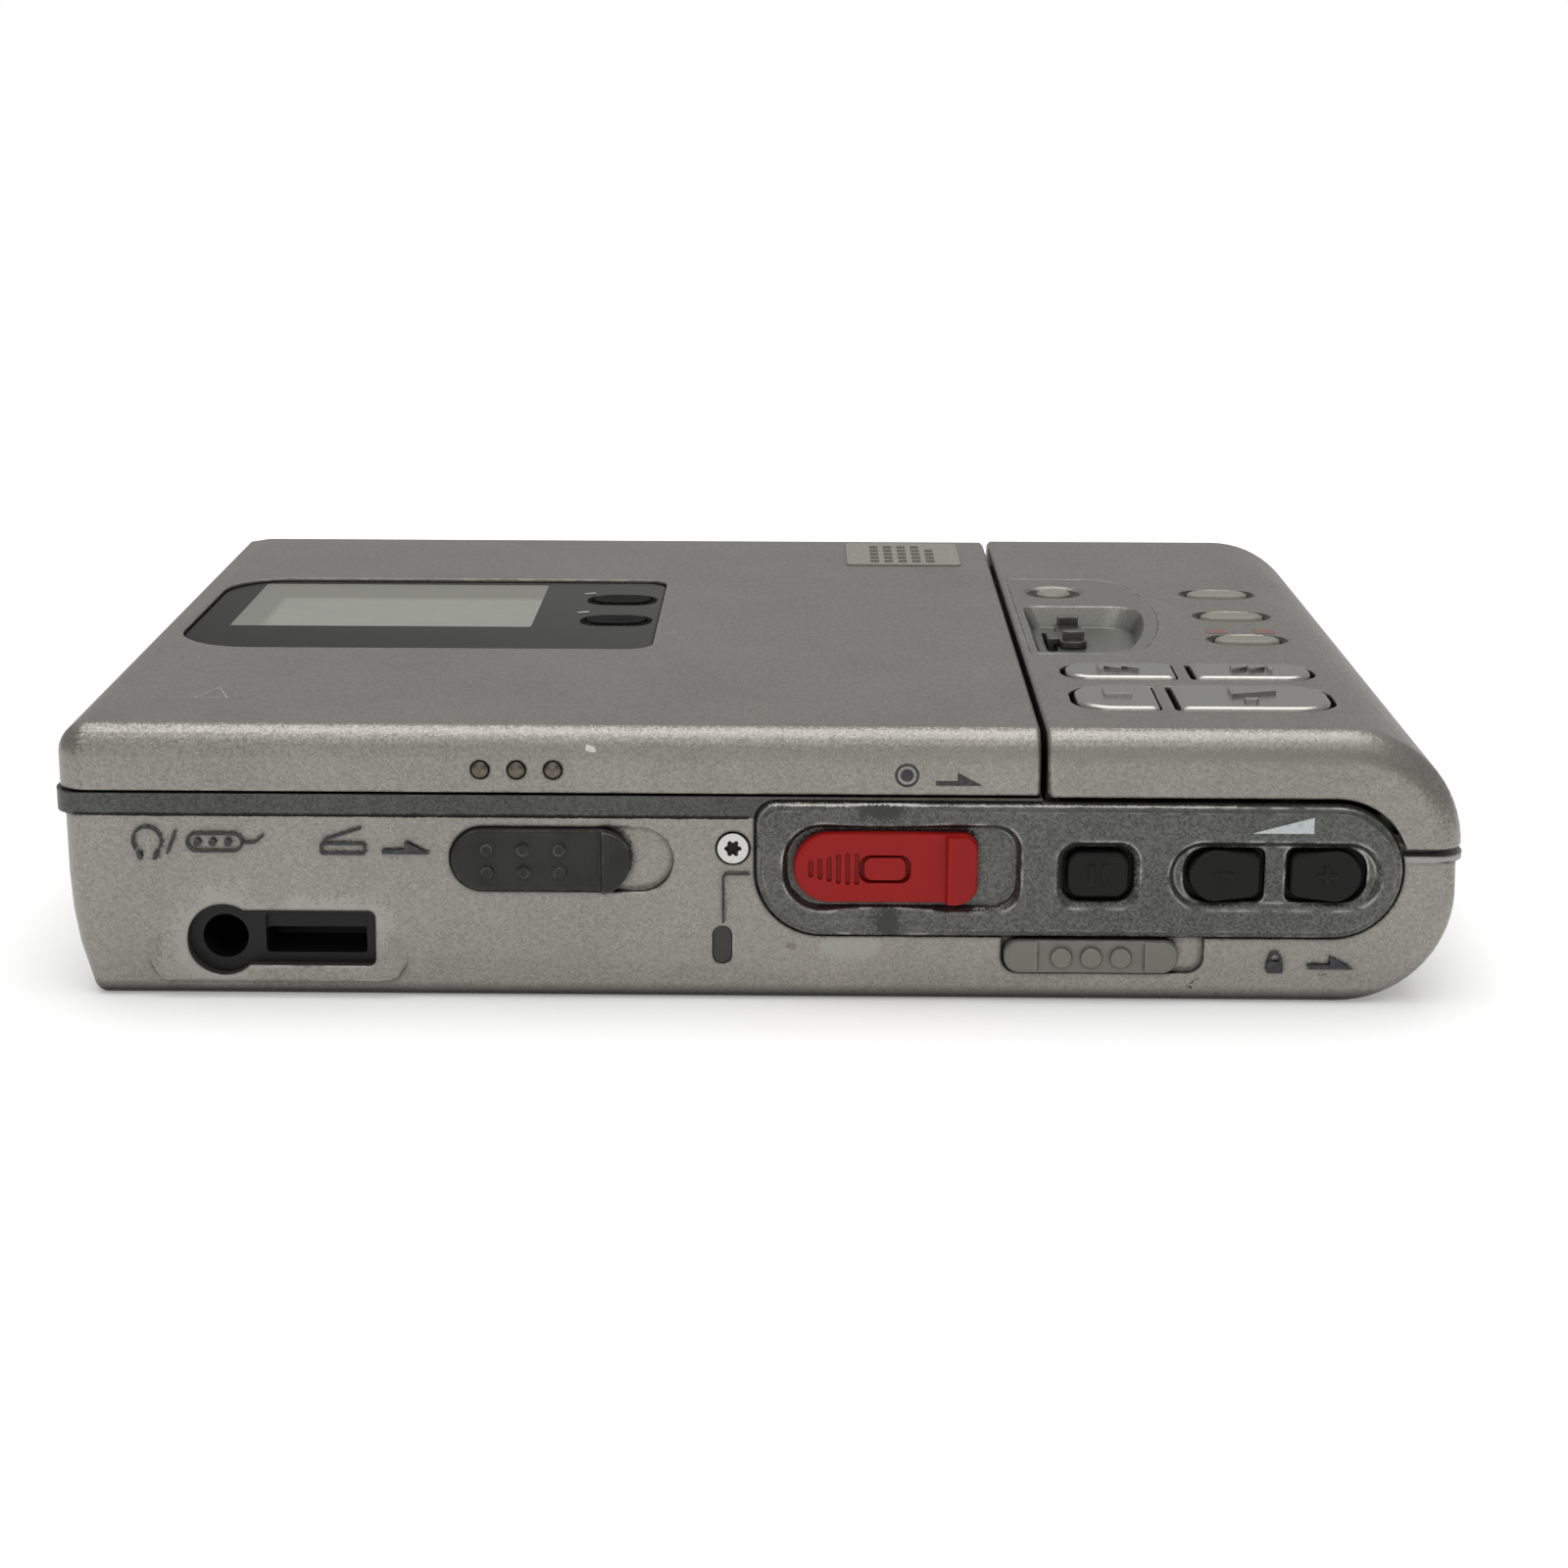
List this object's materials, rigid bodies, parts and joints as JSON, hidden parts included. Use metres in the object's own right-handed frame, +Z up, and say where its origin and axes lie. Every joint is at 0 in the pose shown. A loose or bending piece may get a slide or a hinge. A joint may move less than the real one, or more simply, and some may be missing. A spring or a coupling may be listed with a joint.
{
  "type": "portable minidisc recorder",
  "caption": "Portable disc recorder with a hinged lid, display window, key deck, sliders on the front, sockets and a disc drive inside.",
  "frame": {"origin": "middle of the flat underside of the lower case", "axes": "+X to the right, +Y to the back, +Z up; the sliders and the front socket face -Y"},
  "size_m": [0.1108, 0.0868, 0.0225],
  "materials": {
    "silver_paint": "fine metallic satin",
    "dark_paint": "fine metallic satin",
    "insert_grey": "satin",
    "black_plastic": "matte",
    "key_black": "satin",
    "knob_dark": "satin",
    "knob_grey": "satin",
    "red_plastic": "satin",
    "key_silver": "metallic paint",
    "key_pale": "satin",
    "stud_tan": "satin",
    "window": "smoked",
    "lcd": "reflective",
    "lamp": "tinted",
    "sheet_steel": "plated sheet",
    "steel": "ground",
    "bright_screw": "plated",
    "board": "solder mask",
    "chip": "moulded",
    "rubber": "matte",
    "motor_shell": "satin",
    "sled_body": "moulded",
    "lens": "clear",
    "gear_ivory": "moulded",
    "brass": "machined",
    "battery_wrap": "sleeve",
    "gold": "plated"
  },
  "bodies": {
    "case": {"bottom_case": "silver_paint", "mid_frame": "dark_paint", "deck_cover": "silver_paint", "control_panel": "dark_paint", "jog_insert": "insert_grey", "front_socket": "black_plastic", "front_screw": "bright_screw", "case_screws": "bright_screw", "record_lamp": "lamp", "main_board": "board", "board_chips": "chip", "deck_plate": "sheet_steel", "damper_bushes": "rubber", "deck_screws": "bright_screw", "spindle_motor": "motor_shell", "guide_rods": "steel", "sled_motor": "motor_shell", "mic_socket": "black_plastic", "line_socket": "black_plastic", "power_socket": "black_plastic", "battery": "battery_wrap", "battery_contacts": "gold", "key_board": "board", "front_key_board": "board", "hinge_shaft": "steel"},
    "lid": {"lid": "silver_paint", "lid_window": "window", "lcd_panel": "lcd", "lid_plate": "sheet_steel", "disc_holder": "sheet_steel", "grip_studs": "stud_tan", "lid_catch": "sheet_steel"},
    "display_key": {"display_key": "key_black"},
    "mode_key": {"mode_key": "key_black"},
    "head": {"head_arm": "sheet_steel", "magnetic_head": "chip"},
    "open_slider": {"open_slider": "knob_dark", "open_latch": "sheet_steel"},
    "record_slider": {"record_slider": "red_plastic"},
    "record_lock": {"record_lock": "red_plastic"},
    "pause_key": {"pause_key": "key_black"},
    "volume_down_key": {"volume_down_key": "key_black"},
    "volume_up_key": {"volume_up_key": "key_black"},
    "hold_slider": {"hold_slider": "knob_grey"},
    "previous_key": {"previous_key": "key_silver"},
    "next_key": {"next_key": "key_silver"},
    "stop_key": {"stop_key": "key_silver"},
    "play_key": {"play_key": "key_silver"},
    "oval_key_rear": {"oval_key_rear": "key_pale"},
    "oval_key_middle": {"oval_key_middle": "key_pale"},
    "oval_key_front": {"oval_key_front": "key_pale"},
    "round_key": {"round_key": "key_pale"},
    "jog_lever": {"jog_lever": "key_silver"},
    "battery_door": {"battery_door": "silver_paint"},
    "turntable": {"turntable": "motor_shell"},
    "sled": {"optical_sled": "sled_body", "objective_lens": "lens"},
    "lead_screw": {"lead_screw": "steel"},
    "idler_gear": {"idler_gear": "gear_ivory"},
    "pinion_gear": {"pinion_gear": "brass"}
  },
  "joints": [
    {"name": "lid_hinge", "type": "hinge", "parent": "case", "child": "lid", "pos_m": [0, 0.0393, 0.0188], "axis": [-1, 0, 0], "range_deg": [0, 25]},
    {"name": "display_key_press", "type": "slide", "parent": "lid", "child": "display_key", "axis": [0, 0, -1], "range_m": [0, 0.0004], "stiffness_N_per_m": 60},
    {"name": "mode_key_press", "type": "slide", "parent": "lid", "child": "mode_key", "axis": [0, 0, -1], "range_m": [0, 0.0004], "stiffness_N_per_m": 60},
    {"name": "open_slide", "type": "slide", "parent": "case", "child": "open_slider", "axis": [1, 0, 0], "range_m": [0, 0.003], "stiffness_N_per_m": 60},
    {"name": "record_slide", "type": "slide", "parent": "case", "child": "record_slider", "axis": [1, 0, 0], "range_m": [0, 0.0026], "stiffness_N_per_m": 60},
    {"name": "record_lock_press", "type": "slide", "parent": "record_slider", "child": "record_lock", "axis": [0, 1, 0], "range_m": [0, 0.0005], "stiffness_N_per_m": 60},
    {"name": "pause_key_press", "type": "slide", "parent": "case", "child": "pause_key", "axis": [0, 1, 0], "range_m": [0, 0.0005], "stiffness_N_per_m": 60},
    {"name": "volume_down_key_press", "type": "slide", "parent": "case", "child": "volume_down_key", "axis": [0, 1, 0], "range_m": [0, 0.0005], "stiffness_N_per_m": 60},
    {"name": "volume_up_key_press", "type": "slide", "parent": "case", "child": "volume_up_key", "axis": [0, 1, 0], "range_m": [0, 0.0005], "stiffness_N_per_m": 60},
    {"name": "hold_slide", "type": "slide", "parent": "case", "child": "hold_slider", "axis": [1, 0, 0], "range_m": [0, 0.0019]},
    {"name": "previous_key_press", "type": "slide", "parent": "case", "child": "previous_key", "axis": [0, 0, -1], "range_m": [0, 0.0005], "stiffness_N_per_m": 60},
    {"name": "next_key_press", "type": "slide", "parent": "case", "child": "next_key", "axis": [0, 0, -1], "range_m": [0, 0.0005], "stiffness_N_per_m": 60},
    {"name": "stop_key_press", "type": "slide", "parent": "case", "child": "stop_key", "axis": [0, 0, -1], "range_m": [0, 0.0005], "stiffness_N_per_m": 60},
    {"name": "play_key_press", "type": "slide", "parent": "case", "child": "play_key", "axis": [0, 0, -1], "range_m": [0, 0.0005], "stiffness_N_per_m": 60},
    {"name": "oval_key_rear_press", "type": "slide", "parent": "case", "child": "oval_key_rear", "axis": [0, 0, -1], "range_m": [0, 0.0005], "stiffness_N_per_m": 60},
    {"name": "oval_key_middle_press", "type": "slide", "parent": "case", "child": "oval_key_middle", "axis": [0, 0, -1], "range_m": [0, 0.0005], "stiffness_N_per_m": 60},
    {"name": "oval_key_front_press", "type": "slide", "parent": "case", "child": "oval_key_front", "axis": [0, 0, -1], "range_m": [0, 0.0005], "stiffness_N_per_m": 60},
    {"name": "round_key_press", "type": "slide", "parent": "case", "child": "round_key", "axis": [0, 0, -1], "range_m": [0, 0.0005], "stiffness_N_per_m": 60},
    {"name": "jog_slide", "type": "slide", "parent": "case", "child": "jog_lever", "axis": [0, 1, 0], "range_m": [-0.0012, 0.0012], "stiffness_N_per_m": 60},
    {"name": "battery_door_hinge", "type": "hinge", "parent": "case", "child": "battery_door", "pos_m": [0.035, 0.04159, 0.0029], "axis": [-1, 0, 0], "range_deg": [0, 95]},
    {"name": "turntable_spin", "type": "hinge", "parent": "case", "child": "turntable", "pos_m": [-0.0167, -0.0025, 0.01], "axis": [0, 0, 1], "continuous": true},
    {"name": "sled_slide", "type": "slide", "parent": "case", "child": "sled", "axis": [1, 0, 0], "range_m": [0, 0.015]},
    {"name": "head_slide", "type": "slide", "parent": "lid", "child": "head", "axis": [1, 0, 0], "range_m": [0, 0.015]},
    {"name": "lead_screw_turn", "type": "hinge", "parent": "case", "child": "lead_screw", "pos_m": [0, 0.014, 0.0066], "axis": [1, 0, 0], "range_deg": [0, 2161]},
    {"name": "idler_turn", "type": "hinge", "parent": "case", "child": "idler_gear", "pos_m": [-0.01, 0.0191, 0.0066], "axis": [1, 0, 0], "range_deg": [-2431, 0]},
    {"name": "pinion_turn", "type": "hinge", "parent": "case", "child": "pinion_gear", "pos_m": [-0.01, 0.023, 0.0066], "axis": [1, 0, 0], "range_deg": [0, 3889]}
  ],
  "couplings": [
    {"joint": "head_slide", "follows": "sled_slide", "ratio": 1},
    {"joint": "lead_screw_turn", "follows": "sled_slide", "rad_per_m": 2513.3},
    {"joint": "idler_turn", "follows": "sled_slide", "rad_per_m": -2827.4},
    {"joint": "pinion_turn", "follows": "sled_slide", "rad_per_m": 4523.9}
  ]
}
